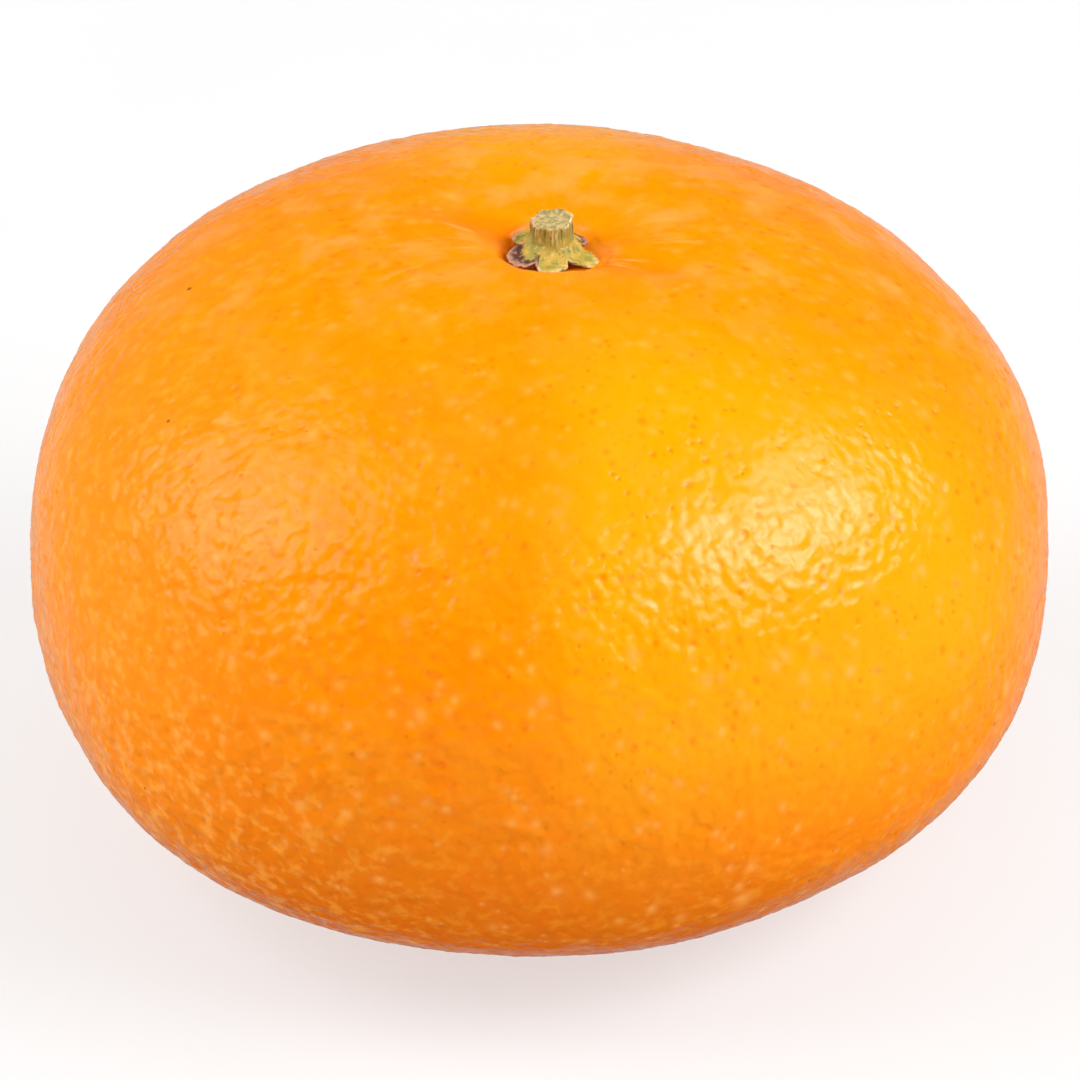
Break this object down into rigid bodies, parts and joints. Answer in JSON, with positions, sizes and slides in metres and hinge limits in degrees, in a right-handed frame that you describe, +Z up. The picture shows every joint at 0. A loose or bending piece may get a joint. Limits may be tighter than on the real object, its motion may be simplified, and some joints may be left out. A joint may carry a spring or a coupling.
{
  "type": "mandarin",
  "caption": "Whole mandarin, broad and flat, with pitted orange peel and a small green star of sepals and a cut stem stub in the hollow at the top.",
  "frame": {"origin": "middle of the fruit's outline, on the surface that it rests on", "axes": "+Z up through the stem end, -Y towards the side that the picture shows, +X to its right"},
  "size_m": [0.0712, 0.0688, 0.0468],
  "materials": {
    "peel": "waxy orange peel with fine pits, satin gloss",
    "calyx": "dried yellow-green sepals with brown edges, matte",
    "stem": "grey-green bark with a pale dry cut, matte"
  },
  "bodies": {
    "root": {"fruit": "peel", "calyx": "calyx", "stem": "stem"}
  },
  "joints": []
}
